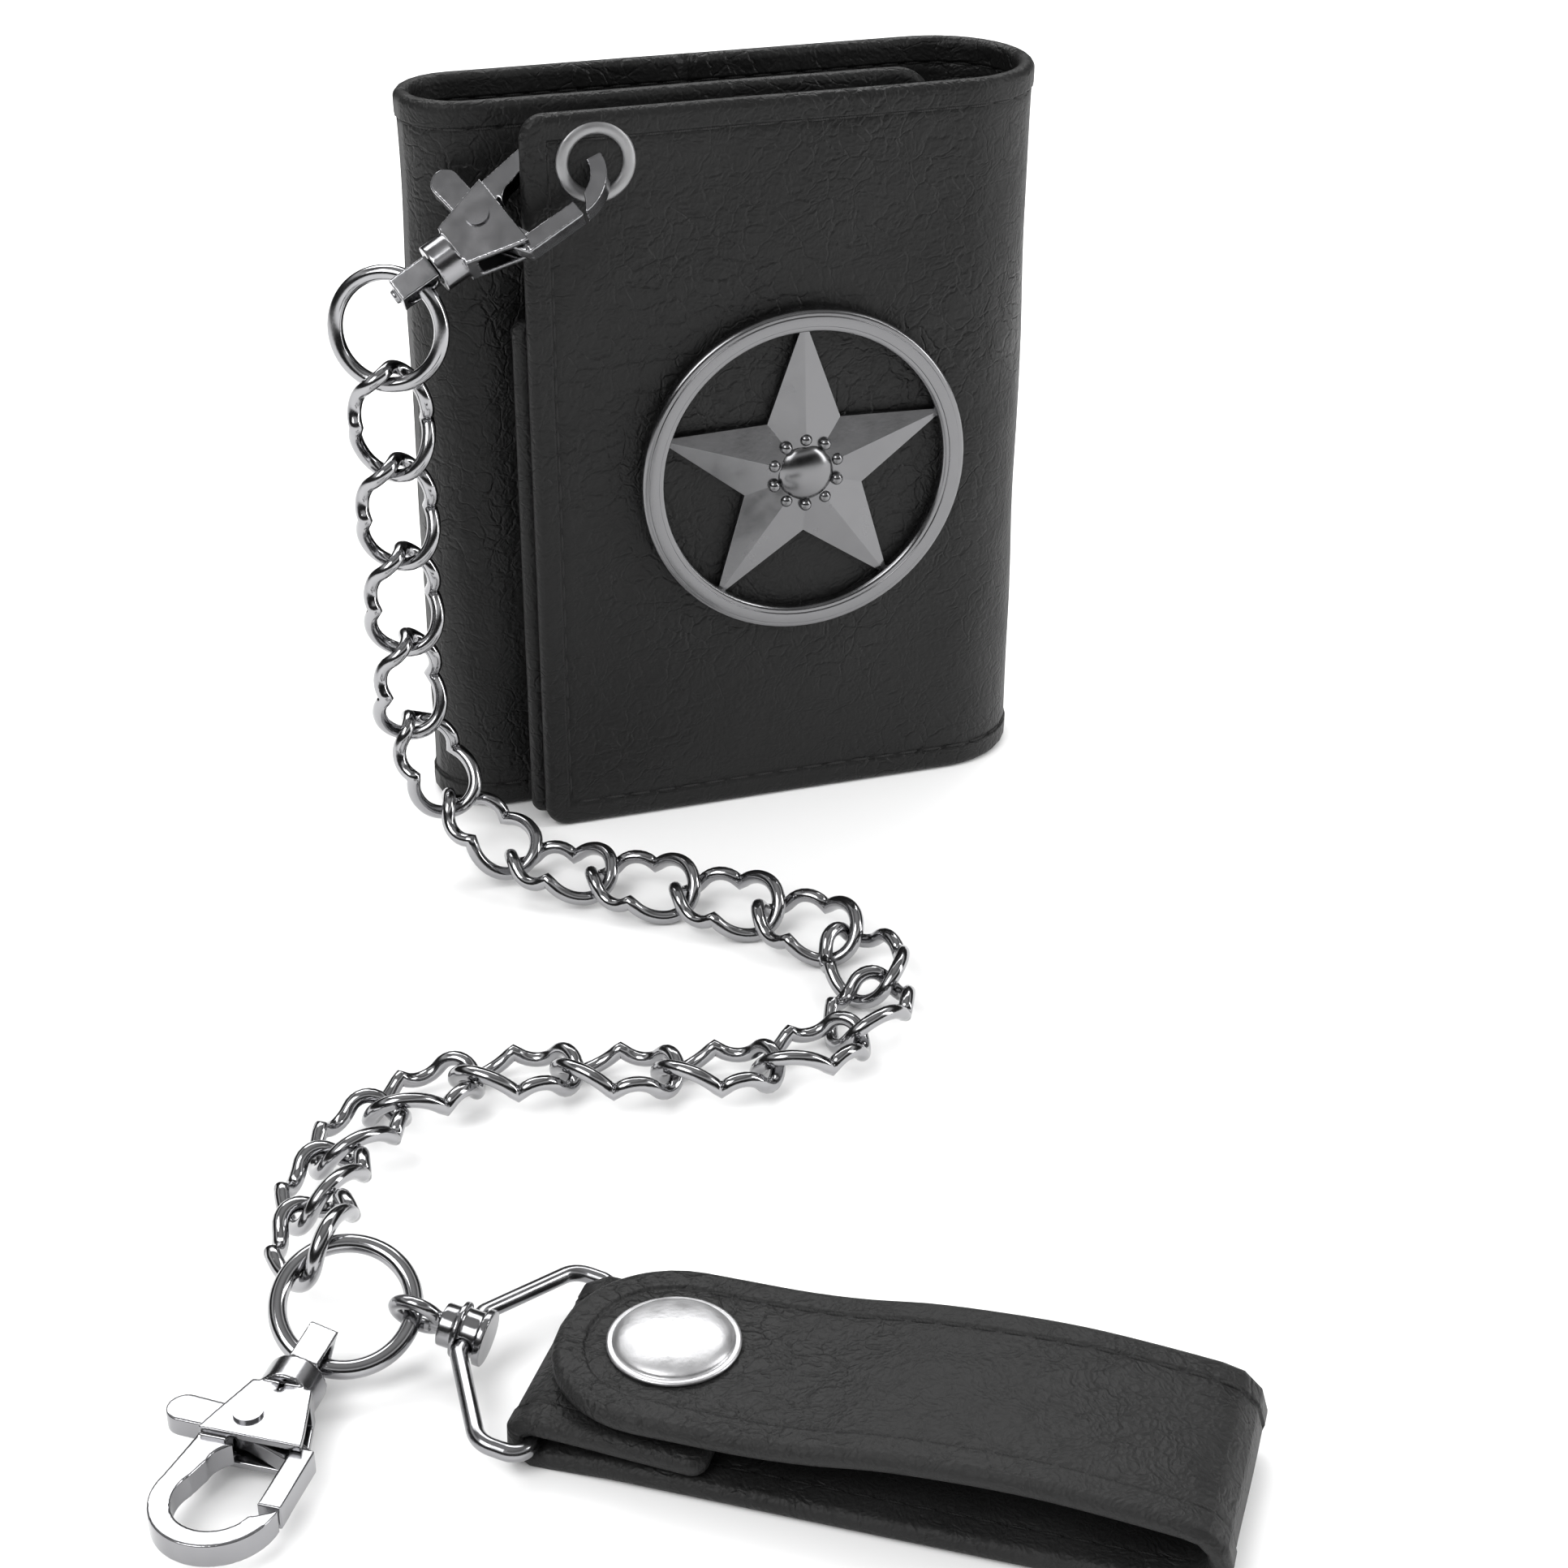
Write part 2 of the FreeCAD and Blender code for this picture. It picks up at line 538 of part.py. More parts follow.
def make_strap_base():
    half_w = STRAP_W / 2
    turn_t = FOLD_OUT_R - FOLD_IN_R
    base = box(BAR_X, BEND_X, -half_w, half_w, 0, turn_t)
    base = base.fuse(box(BAR_X + FOLD_OUT_R, BEND_X, -half_w, half_w, turn_t, STRAP_T))
    fold = y_ring(BAR_X, FOLD_OUT_R, FOLD_OUT_R, FOLD_IN_R, half_w)
    fold = fold.common(box(-2 * FOLD_OUT_R, BAR_X, -half_w, half_w, 0, 2 * FOLD_OUT_R))
    tail = across([(BAR_X, 2 * FOLD_OUT_R - turn_t), (BAR_X + FOLD_OUT_R, STRAP_T + 0.6), (BAR_X + FOLD_OUT_R, STRAP_T),
                   (TAIL_END_X, STRAP_T), (TAIL_END_X, 2 * FOLD_OUT_R - 0.6), (BAR_X, 2 * FOLD_OUT_R)], half_w)
    bend = y_ring(BEND_X, BEND_R, BEND_R, BEND_R - STRAP_T, half_w)
    bend = bend.common(box(BEND_X, BEND_X + BEND_R, -half_w, half_w, 0, 2 * BEND_R))
    return base.fuse([fold, tail, bend]).removeSplitter()


def make_strap_flap():
    half_w = STRAP_W / 2
    top = [V(SNAP_X - half_w, 0, FLAP_LOW_Z), V(FLAP_DIP_X, 0, FLAP_LOW_Z), V(FLAP_CREST[0], 0, FLAP_CREST[1]),
           V(BEND_X, 0, 2 * BEND_R)]
    middle = V((FLAP_DIP_X + FLAP_CREST[0]) / 2, 0, (FLAP_LOW_Z + FLAP_CREST[1]) / 2 + 0.35)
    far = V((FLAP_CREST[0] + BEND_X) / 2, 0, (FLAP_CREST[1] + 2 * BEND_R) / 2 + 0.35)
    down = V(0, 0, -STRAP_T)
    edges = [Part.makeLine(top[0], top[1]), Part.Arc(top[1], middle, top[2]).toShape(),
             Part.Arc(top[2], far, top[3]).toShape(), Part.makeLine(top[3], top[3] + down),
             Part.Arc(top[3] + down, far + down, top[2] + down).toShape(),
             Part.Arc(top[2] + down, middle + down, top[1] + down).toShape(),
             Part.makeLine(top[1] + down, top[0] + down), Part.makeLine(top[0] + down, top[0])]
    sheet = Part.Face(Part.Wire(edges))
    sheet.translate(V(0, -half_w, 0))
    flap = sheet.extrude(V(0, STRAP_W, 0))
    round_end = Part.makeCylinder(half_w, 20, V(SNAP_X, 0, 0))
    flap = flap.common(round_end.fuse(box(SNAP_X, BEND_X, -half_w, half_w, 0, 20)))
    return flap.cut(Part.makeCylinder(POST_R, 20, V(SNAP_X, 0, 0)))


def make_snap_cap():
    rim = Part.makeCylinder(SNAP_R, 0.5, V(SNAP_X, 0, FLAP_LOW_Z))
    rise = 1.4
    dome_r = (SNAP_R ** 2 + rise ** 2) / (2 * rise)
    ball = Part.makeSphere(dome_r, V(SNAP_X, 0, FLAP_LOW_Z + 0.5 + rise - dome_r))
    dome = ball.common(Part.makeCylinder(SNAP_R + 1, rise + 1, V(SNAP_X, 0, FLAP_LOW_Z + 0.5)))
    post = Part.makeCylinder(POST_R, STRAP_T, V(SNAP_X, 0, FLAP_LOW_Z - STRAP_T))
    return rim.fuse([dome, post]).removeSplitter()


def make_snap_socket():
    low = FLAP_LOW_Z - STRAP_T
    ring = Part.makeCylinder(SOCKET_R, 0.7, V(SNAP_X, 0, low - 0.7))
    return ring.cut(Part.makeCylinder(SNAP_STUD_R + 0.2, 0.7, V(SNAP_X, 0, low - 0.7)))


def make_snap_stud():
    low = 2 * FOLD_OUT_R - 0.6
    tail_z = 2 * FOLD_OUT_R - 0.6 * (SNAP_X - BAR_X) / (TAIL_END_X - BAR_X)
    stud = Part.makeCylinder(SNAP_STUD_R, FLAP_LOW_Z - STRAP_T - 0.15 - low, V(SNAP_X, 0, low))
    below = across([(BAR_X, 0), (BAR_X, 2 * FOLD_OUT_R), (TAIL_END_X, low), (TAIL_END_X, 0)], STRAP_W)
    return stud.cut(below) if tail_z > low else stud


# ---------------------------------------------------------------- assembly
def strap_frames(where, joints):
    """Frames of the strap and of the swivel, from the lower ring."""
    ring = where["lower_ring"]
    e1, e2, normal = turned_basis(ring)
    centre = V(ring.A14, ring.A24, ring.A34)
    radial = e1 * math.cos(SWIVEL_ANGLE) + e2 * math.sin(SWIVEL_ANGLE)
    wire = centre + radial * RING_R
    ahead = V(math.cos(STRAP_HEADING), math.sin(STRAP_HEADING), 0)
    side = Z.cross(ahead)
    drop = wire.z - FOLD_OUT_R
    level = math.sqrt(SWIVEL_TO_BAR ** 2 - drop ** 2)
    bar = V(wire.x, wire.y, FOLD_OUT_R) + ahead * level
    where["swivel"] = frame(wire, bar - wire, side)
    where["swivel_link"] = frame(wire, bar - wire, normal.cross(radial))
    where["strap"] = frame(V(bar.x, bar.y, 0) - ahead * BAR_X, ahead, side)
    joints["swivel_link"] = (wire, normal.cross(radial))
    joints["bar"] = (bar, side)
    return where, joints


def build():
    """Every node's solid, in the layout frame, with the frames and joint points they use."""
    where, joints = strap_frames(*lay_out())
    nodes = {
        "front_cover": make_front_cover(),
        "front_card_pocket": make_front_pocket(),
        "eyelet": make_eyelet(),
        "eyelet_washer": make_eyelet_washer(),
        "emblem_badge": make_emblem(),
        "right_spine": half_shell(RIGHT_X, 0, FOLD_R, LEATHER, 1, WALLET_H),
        "back_cover": make_back_cover(),
        "bill_pocket_lining": make_bill_pocket(),
        "left_spine": half_shell(LEFT_X, LEFT_Y, LEFT_R, LEATHER, -1, WALLET_H),
        "inner_flap": make_inner_flap(),
        "inner_card_pocket": make_inner_pocket(),
    }
    for which in ("top", "lower"):
        clasp = where[which + "_clasp"]
        nodes[which + "_clasp_hook"] = placed(make_clasp_body(), clasp)
        nodes[which + "_clasp_lever"] = placed(make_lever(), clasp)
        nodes[which + "_clasp_rivet"] = placed(make_clasp_rivet(), clasp)
        nodes[which + "_clasp_spring"] = placed(make_clasp_spring(), clasp)
        nodes[which + "_swivel_eye"] = placed(make_swivel_eye(), where[which + "_eye"])
        nodes[which + "_ring"] = placed(ring_solid(), where[which + "_ring"])
    link = link_solid()
    for name in where:
        if name.startswith("link_"):
            nodes["chain_" + name] = placed(link, where[name])
    swivel, strap = where["swivel"], where["strap"]
    nodes["strap_swivel_link"] = placed(make_swivel_link(), where["swivel_link"])
    nodes["strap_swivel_barrel"] = placed(make_swivel_barrel(), swivel)
    nodes["strap_swivel_stud"] = placed(make_swivel_stud(), swivel)
    nodes["strap_wire_loop"] = placed(make_wire_loop(), swivel)
    nodes["strap_base"] = placed(make_strap_base(), strap)
    nodes["strap_flap"] = placed(make_strap_flap(), strap)
    nodes["snap_cap"] = placed(make_snap_cap(), strap)
    nodes["snap_socket"] = placed(make_snap_socket(), strap)
    nodes["snap_stud"] = placed(make_snap_stud(), strap)
    return nodes, where, joints


def base_centre(nodes):
    """Bottom centre of the whole object's bounding box."""
    box_all = FreeCAD.BoundBox()
    for solid in nodes.values():
        box_all.add(solid.optimalBoundingBox(False, False))
    return V((box_all.XMin + box_all.XMax) / 2, (box_all.YMin + box_all.YMax) / 2, box_all.ZMin)


def main():
    nodes, where, joints = build()
    shift = base_centre(nodes) * -1
    os.makedirs("parts", exist_ok=True)
    for name, solid in nodes.items():
        moved = solid.copy()
        moved.translate(shift)
        moved.exportStep("parts/%s.step" % name)
    print("nodes", len(nodes), "shift", shift)


if __name__ == "__main__":
    main()
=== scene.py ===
"""Chain wallet: leather, metal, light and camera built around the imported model. Metres, +Z up."""
import json
import math

import bpy
import bmesh
import numpy as np
from mathutils import Matrix, Vector, noise


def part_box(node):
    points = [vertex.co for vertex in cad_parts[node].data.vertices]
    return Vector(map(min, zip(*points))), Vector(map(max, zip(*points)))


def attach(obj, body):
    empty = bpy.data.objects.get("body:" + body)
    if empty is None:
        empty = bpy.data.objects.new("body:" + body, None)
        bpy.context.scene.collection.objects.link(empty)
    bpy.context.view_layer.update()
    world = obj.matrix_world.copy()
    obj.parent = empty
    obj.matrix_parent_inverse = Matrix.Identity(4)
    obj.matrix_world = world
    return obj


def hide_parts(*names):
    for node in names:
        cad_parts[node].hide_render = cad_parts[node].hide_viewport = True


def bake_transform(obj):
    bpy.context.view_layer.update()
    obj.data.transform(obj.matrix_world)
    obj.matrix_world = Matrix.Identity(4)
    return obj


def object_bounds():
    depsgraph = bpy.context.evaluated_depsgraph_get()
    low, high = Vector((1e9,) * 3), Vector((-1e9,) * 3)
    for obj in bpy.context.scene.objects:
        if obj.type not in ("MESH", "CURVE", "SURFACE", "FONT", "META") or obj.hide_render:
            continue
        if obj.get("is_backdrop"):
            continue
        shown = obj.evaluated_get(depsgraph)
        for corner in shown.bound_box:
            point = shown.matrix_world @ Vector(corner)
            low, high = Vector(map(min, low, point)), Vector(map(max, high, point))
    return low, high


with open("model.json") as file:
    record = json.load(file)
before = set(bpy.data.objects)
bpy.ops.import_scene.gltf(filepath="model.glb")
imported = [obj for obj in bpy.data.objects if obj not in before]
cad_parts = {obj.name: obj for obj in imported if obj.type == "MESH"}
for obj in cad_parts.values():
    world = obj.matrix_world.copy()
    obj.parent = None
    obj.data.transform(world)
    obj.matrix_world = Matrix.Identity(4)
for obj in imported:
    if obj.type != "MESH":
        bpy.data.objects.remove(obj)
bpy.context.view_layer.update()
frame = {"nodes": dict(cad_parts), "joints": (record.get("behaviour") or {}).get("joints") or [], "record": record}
MM = 0.001
UP = Vector((0, 0, 1))
JOINTS = {j["name"]: j for j in frame["joints"]}
BODY_OF = {n: b for b, ns in frame["record"]["behaviour"]["bodies"].items() for n in ns}

# sizes of the leather work, in millimetres, as in the CAD
WALLET_H = 110.0
LEATHER = 2.2
FOLD_R = 13.85
FLAP_EDGE_X = -33.0
RIGHT_X = 32.65
INNER_Y = -4.65
LEFT_R = (FOLD_R - INNER_Y) / 2
LEFT_X = -46.5 + LEFT_R
LEFT_Y = FOLD_R - LEFT_R
INNER_END_X = 30.5
BACK_SPLIT_X = -2.0
CORNER_R = 3.5

cover_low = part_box("front_cover")[0]
ORIGIN = Vector((cover_low.x - FLAP_EDGE_X * MM, cover_low.y + FOLD_R * MM, 0))


# ---------------------------------------------------------------- materials
def new_material(name):
    mat = bpy.data.materials.new(name)
    mat.use_nodes = True
    nodes = mat.node_tree.nodes
    return mat, nodes, mat.node_tree.links, nodes["Principled BSDF"]


def add(nodes, kind, **values):
    node = nodes.new(kind)
    for key, value in values.items():
        if key in node.inputs:
            node.inputs[key].default_value = value
        else:
            setattr(node, key, value)
    return node


def ramp(nodes, links, source, stops):
    node = nodes.new("ShaderNodeValToRGB")
    links.new(source, node.inputs["Fac"])
    ends = node.color_ramp.elements
    while len(ends) < len(stops):
        ends.new(0.5)
    for end, (at, tone) in zip(ends, stops):
        end.position = at
        end.color = (*tone, 1) if isinstance(tone, tuple) else (tone, tone, tone, 1)
    return node.outputs["Color"]


def leather_material(name, dark, light, rough, grain, crease):
    """Grained leather: fine pebbles, crossing crease lines and patches of duller skin."""
    mat, nodes, links, shader = new_material(name)
    where = nodes.new("ShaderNodeTexCoord").outputs["Object"]
    warp = add(nodes, "ShaderNodeTexNoise", Scale=160.0, Detail=4.0)
    links.new(where, warp.inputs["Vector"])
    mixed = add(nodes, "ShaderNodeMix", data_type="VECTOR")
    mixed.inputs[0].default_value = 0.006
    links.new(where, mixed.inputs[4])
    links.new(warp.outputs["Color"], mixed.inputs[5])
    pebble = add(nodes, "ShaderNodeTexVoronoi", Scale=1500.0)
    links.new(mixed.outputs[1], pebble.inputs["Vector"])
    creases = add(nodes, "ShaderNodeTexVoronoi", feature="DISTANCE_TO_EDGE", Scale=330.0)
    links.new(mixed.outputs[1], creases.inputs["Vector"])
    lines = ramp(nodes, links, creases.outputs["Distance"], [(0.0, 0.0), (0.09, 1.0)])
    patches = add(nodes, "ShaderNodeTexNoise", Scale=42.0, Detail=5.0, Roughness=0.6)
    links.new(where, patches.inputs["Vector"])
    where_creased = ramp(nodes, links, patches.outputs["Fac"], [(0.38, 1.0), (0.62, 0.25)])
    shown = add(nodes, "ShaderNodeMix", data_type="FLOAT")
    links.new(where_creased, shown.inputs[0])
    shown.inputs[2].default_value = 1.0
    links.new(lines, shown.inputs[3])
    fine = add(nodes, "ShaderNodeTexNoise", Scale=2600.0, Detail=3.0)
    links.new(where, fine.inputs["Vector"])
    waves = add(nodes, "ShaderNodeTexNoise", Scale=95.0, Detail=3.0)
    links.new(where, waves.inputs["Vector"])
    height = None
    layers = ((waves.outputs["Fac"], 0.5, 0.0012),
              (shown.outputs[0], crease, 0.0002),
              (pebble.outputs["Distance"], grain, 0.00022),
              (fine.outputs["Fac"], grain * 0.7, 0.0001))
    for source, strength, depth in layers:
        bump = add(nodes, "ShaderNodeBump", Strength=strength, Distance=depth)
        links.new(source, bump.inputs["Height"])
        if height is not None:
            links.new(height, bump.inputs["Normal"])
        height = bump.outputs["Normal"]
    links.new(height, shader.inputs["Normal"])
    links.new(ramp(nodes, links, patches.outputs["Fac"], [(0.3, dark), (0.7, light)]),
              shader.inputs["Base Color"])
    links.new(ramp(nodes, links, patches.outputs["Fac"], [(0.3, rough - 0.05), (0.7, rough + 0.1)]),
              shader.inputs["Roughness"])
    shader.inputs["Specular IOR Level"].default_value = 0.28
    return mat


def metal_material(name, tone, rough, scratch=0.0):
    """Plated metal: faint variation of polish and, where asked, fine rubbing marks."""
    mat, nodes, links, shader = new_material(name)
    where = nodes.new("ShaderNodeTexCoord").outputs["Object"]
    cloud = add(nodes, "ShaderNodeTexNoise", Scale=300.0, Detail=3.0)
    links.new(where, cloud.inputs["Vector"])
    links.new(ramp(nodes, links, cloud.outputs["Fac"], [(0.3, rough * 0.8), (0.75, rough * 1.35)]),
              shader.inputs["Roughness"])
    links.new(ramp(nodes, links, cloud.outputs["Fac"], [(0.2, tuple(0.9 * v for v in tone)), (0.8, tone)]),
              shader.inputs["Base Color"])
    bump = add(nodes, "ShaderNodeBump", Strength=0.08 + scratch, Distance=0.00005)
    marks = add(nodes, "ShaderNodeTexNoise", Scale=1800.0, Detail=2.0)
    links.new(where, marks.inputs["Vector"])
    links.new(marks.outputs["Fac"], bump.inputs["Height"])
    links.new(bump.outputs["Normal"], shader.inputs["Normal"])
    shader.inputs["Metallic"].default_value = 1.0
    return mat


def cloth_material(name, tone):
    mat, nodes, links, shader = new_material(name)
    where = nodes.new("ShaderNodeTexCoord").outputs["Object"]
    weave = add(nodes, "ShaderNodeTexWave", Scale=900.0, Distortion=0.4)
    links.new(where, weave.inputs["Vector"])
    links.new(ramp(nodes, links, weave.outputs["Fac"], [(0.0, tone * 0.6), (1.0, tone)]),
              shader.inputs["Base Color"])
    bump = add(nodes, "ShaderNodeBump", Strength=0.4, Distance=0.0001)
    links.new(weave.outputs["Fac"], bump.inputs["Height"])
    links.new(bump.outputs["Normal"], shader.inputs["Normal"])
    shader.inputs["Roughness"].default_value = 0.8
    return mat


WALLET_SKIN = leather_material("wallet_leather", 0.0035, 0.0065, 0.46, 0.42, 0.55)
STRAP_SKIN = leather_material("strap_leather", 0.008, 0.016, 0.52, 0.60, 0.45)
THREAD = cloth_material("black_thread", 0.012)
LINING = cloth_material("black_lining", 0.010)
NICKEL = metal_material("black_nickel", (0.36, 0.36, 0.37), 0.13)
CLASP_METAL = metal_material("clasp_nickel", (0.30, 0.30, 0.31), 0.19)
BADGE_METAL = metal_material("badge_nickel", (0.20, 0.20, 0.205), 0.22)
SNAP_METAL = metal_material("satin_silver", (0.60, 0.60, 0.61), 0.42, 0.35)
EYELET_METAL = metal_material("grey_eyelet", (0.32, 0.32, 0.325), 0.45, 0.5)


# ---------------------------------------------------------------- mesh helpers
def make_object(name, bm, material, smooth=True):
    bmesh.ops.recalc_face_normals(bm, faces=bm.faces)
    mesh = bpy.data.meshes.new(name)
    bm.to_mesh(mesh)
    bm.free()
    for polygon in mesh.polygons:
        polygon.use_smooth = smooth
    mesh.materials.append(material)
    obj = bpy.data.objects.new(name, mesh)
    bpy.context.scene.collection.objects.link(obj)
    return obj


def finish_piece(obj, body, replaced=()):
    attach(obj, body)
    if replaced:
        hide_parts(*replaced)
    return obj


def tube(bm, points, radius, sides=14, closed=True):
    """Round wire along points, with frames carried along so that it doesn't twist."""
    points = [Vector(p) for p in points]
    count = len(points)
    tangents = []
    for i in range(count):
        before = points[i - 1] if closed or i else points[0]
        after = points[(i + 1) % count] if closed or i < count - 1 else points[-1]
        tangents.append((after - before).normalized())
    normal = tangents[0].orthogonal().normalized()
    normals = [normal]
    for i in range(1, count):
        normal = tangents[i - 1].rotation_difference(tangents[i]) @ normals[-1]
        normals.append(normal.normalized())
    twist = 0.0
    if closed:
        last = tangents[-1].rotation_difference(tangents[0]) @ normals[-1]
        twist = math.atan2(last.cross(normals[0]).dot(tangents[0]), last.dot(normals[0]))
    rings = []
    for i in range(count):
        spin = twist * i / count
        side = tangents[i].cross(normals[i])
        ring = []
        for k in range(sides):
            a = 2 * math.pi * k / sides + spin
            ring.append(bm.verts.new(points[i] + (normals[i] * math.cos(a) + side * math.sin(a)) * radius))
        rings.append(ring)
    for i in range(count if closed else count - 1):
        a, b = rings[i], rings[(i + 1) % count]
        for k in range(sides):
            bm.faces.new((a[k], a[(k + 1) % sides], b[(k + 1) % sides], b[k]))
    if not closed:
        for ring in (rings[0], rings[-1]):
            bm.faces.new(ring)


def lathe(bm, matrix, profile, steps=96):
    """Surface turned about the matrix's Z. Its (radius, height) pairs close on themselves or on the axis."""
    rings = []
    for r, z in profile:
        if r < 1e-9:
            rings.append([bm.verts.new(matrix @ Vector((0, 0, z)))] * steps)
        else:
            rings.append([bm.verts.new(matrix @ Vector((r * math.cos(2 * math.pi * k / steps),
                                                        r * math.sin(2 * math.pi * k / steps), z)))
                          for k in range(steps)])
    closed = profile[0][0] > 1e-9 and profile[-1][0] > 1e-9
    for i in range(len(rings) if closed else len(rings) - 1):
        a, b = rings[i], rings[(i + 1) % len(rings)]
        for k in range(steps):
            m = (k + 1) % steps
            corners = []
            for v in (a[k], a[m], b[m], b[k]):
                if v not in corners:
                    corners.append(v)
            if len(corners) > 2:
                bm.faces.new(corners)


def basis(origin, x, y):
    """Placement at origin with the given X direction, and Y as near y as it can be."""
    x = Vector(x).normalized()
    y = (Vector(y) - x * x.dot(Vector(y))).normalized()
    z = x.cross(y)
    return Matrix(((x.x, y.x, z.x, origin[0]),
                   (x.y, y.y, z.y, origin[1]),
                   (x.z, y.z, z.z, origin[2]),
                   (0, 0, 0, 1)))


# ---------------------------------------------------------------- sewn leather
# distances from a free edge, in millimetres: where the roll, the band, the groove and its far side end
ROLL = 1.3
BAND = 3.45
GROOVE = 3.75
FLAT = 4.3
GROOVE_DEPTH = 0.16
ALONG_STEP = 2.2
ACROSS_STEP = 2.6
THREAD_R = 0.27
THREAD_LIFT = 0.02
WAVE_FREQUENCY = 0.045
EDGE_LINES = (0, 0.06, 0.2, 0.42, 0.7, 1.0, 1.35, 1.9, 2.6, 3.2, 3.45, 3.6, 3.75, 3.95, 4.3, 5.2)


def half_thickness(d, thick, band):
    """Half the leather's thickness at d from a turned edge: a roll, a doubled band, a sewn groove."""
    full = thick / 2
    if d < ROLL:
        return (full + band) * math.sqrt(max(0.0, 1 - (1 - d / ROLL) ** 2))
    if d < BAND:
        return full + band
    if d < GROOVE:
        t = (d - BAND) / (GROOVE - BAND)
        return full + band - (band + GROOVE_DEPTH) * t * t * (3 - 2 * t)
    if d < FLAT:
        t = (d - GROOVE) / (FLAT - GROOVE)
        return full - GROOVE_DEPTH + GROOVE_DEPTH * t * t * (3 - 2 * t)
    return full


class Sheet:
    """A leather panel along a path, across a width, with turned and sewn free edges."""

    def __init__(self, path, across, width, thick, band, corner, free_start, free_end, wobble):
        self.path, self.across, self.width, self.thick, self.band = path, across, width, thick, band
        self.corner, self.free_start, self.free_end, self.wobble = corner, free_start, free_end, wobble
        self.lengths = [0.0]
        for a, b in zip(path, path[1:]):
            self.lengths.append(self.lengths[-1] + (b[0] - a[0]).length)
        self.total = self.lengths[-1]

    def at(self, s):
        s = min(max(s, 0.0), self.total)
        i = max(0, min(len(self.path) - 2, int(np.searchsorted(self.lengths, s)) - 1))
        span = self.lengths[i + 1] - self.lengths[i]
        t = (s - self.lengths[i]) / span if span else 0
        point = self.path[i][0].lerp(self.path[i + 1][0], t)
        normal = self.path[i][1].lerp(self.path[i + 1][1], t).normalized()
        return point, normal

    def place(self, s, w):
        """Position, normal and half thickness of the grid point s along and w across, in millimetres."""
        a = s if self.free_start else 1e9
        a_end = self.total - s if self.free_end else 1e9
        near = min(a, a_end)
        b = min(w, self.width - w)
        d = min(near, b)
        r = self.corner
        if near < r and b < r:
            px, py = 1 - near / r, 1 - b / r
            big = max(px, py)
            size = math.hypot(px, py)
            if size > 0:
                px, py = px * big / size, py * big / size
            near_new, b_new = r * (1 - px), r * (1 - py)
            s = near_new if a <= a_end else self.total - near_new
            w = b_new if w <= self.width / 2 else self.width - b_new
            d = r * (1 - big)
        point, normal = self.at(s)
        point = point + self.across * w
        soft = noise.noise(point * WAVE_FREQUENCY) * self.wobble * min(1.0, d / 8 + 0.25)
        return point + normal * soft, normal, half_thickness(d, self.thick, self.band)

    def lines(self):
        """Grid positions along the path and across it, closer together near the free edges."""
        count = round(self.total / ALONG_STEP)
        along = [self.total * i / max(1, count) for i in range(count + 1)]
        inner = [v for v in along if (not self.free_start or v > EDGE_LINES[-1] + 1)
                 and (not self.free_end or v < self.total - EDGE_LINES[-1] - 1)]
        if self.free_start:
            inner = list(EDGE_LINES) + inner
        if self.free_end:
            inner = inner + [self.total - v for v in reversed(EDGE_LINES)]
        steps = max(2, round((self.width - 2 * EDGE_LINES[-1]) / ACROSS_STEP))
        middle = [EDGE_LINES[-1] + (self.width - 2 * EDGE_LINES[-1]) * i / steps for i in range(1, steps)]
        far = [self.width - v for v in reversed(EDGE_LINES)]
        return inner, list(EDGE_LINES) + middle + far

    def mesh(self):
        bm = bmesh.new()
        along, cross = self.lines()
        sides = []
        for sign in (1, -1):
            rows = []
            for s in along:
                row = []
                for w in cross:
                    point, normal, half = self.place(s, w)
                    row.append(bm.verts.new((point + normal * half * sign) * MM))
                rows.append(row)
            for i in range(len(rows) - 1):
                for j in range(len(cross) - 1):
                    bm.faces.new((rows[i][j], rows[i + 1][j], rows[i + 1][j + 1], rows[i][j + 1]))
            sides.append(rows)
        for free, index in ((self.free_start, 0), (self.free_end, -1)):
            if not free:
                a, b = sides[0][index], sides[1][index]
                for j in range(len(cross) - 1):
                    bm.faces.new((a[j], a[j + 1], b[j + 1], b[j]))
        bmesh.ops.remove_doubles(bm, verts=bm.verts, dist=2e-6)
        bmesh.ops.dissolve_degenerate(bm, edges=bm.edges, dist=1e-7)
        return bm

    def stitches(self, bm, start, end, w, sign, pitch=4.0, dash=3.0, inset=None):
        """Thread dashes along the path at w across it, or straight across it at the given inset."""
        steps = int((end - start) / pitch)
        for i in range(steps):
            lo = start + (end - start - steps * pitch) / 2 + i * pitch + (pitch - dash) / 2
            points = []
            for k in range(5):
                t = lo + dash * k / 4
                s, across = (t, w) if inset is None else (inset, t)
                point, normal, half = self.place(s, across)
                dip = GROOVE_DEPTH * abs(k / 2 - 1) ** 2
                points.append((point + normal * sign * (half + THREAD_LIFT - dip)) * MM)
            tube(bm, points, THREAD_R * MM, sides=6, closed=False)


def arc_path(center, radius, start_deg, end_deg, steps=14):
    out = []
    for i in range(steps + 1):
        a = math.radians(start_deg + (end_deg - start_deg) * i / steps)
        n = Vector((math.cos(a), math.sin(a), 0))
        out.append((center + n * radius, n))
    return out


def straight(a, b, normal, steps=12):
    return [(a.lerp(b, i / steps), Vector(normal)) for i in range(steps + 1)]


def join_paths(*parts):
    out = list(parts[0])
    for part in parts[1:]:
        out += part[1:]
    return out


def shifted(path):
    return [(p + ORIGIN / MM, n) for p, n in path]


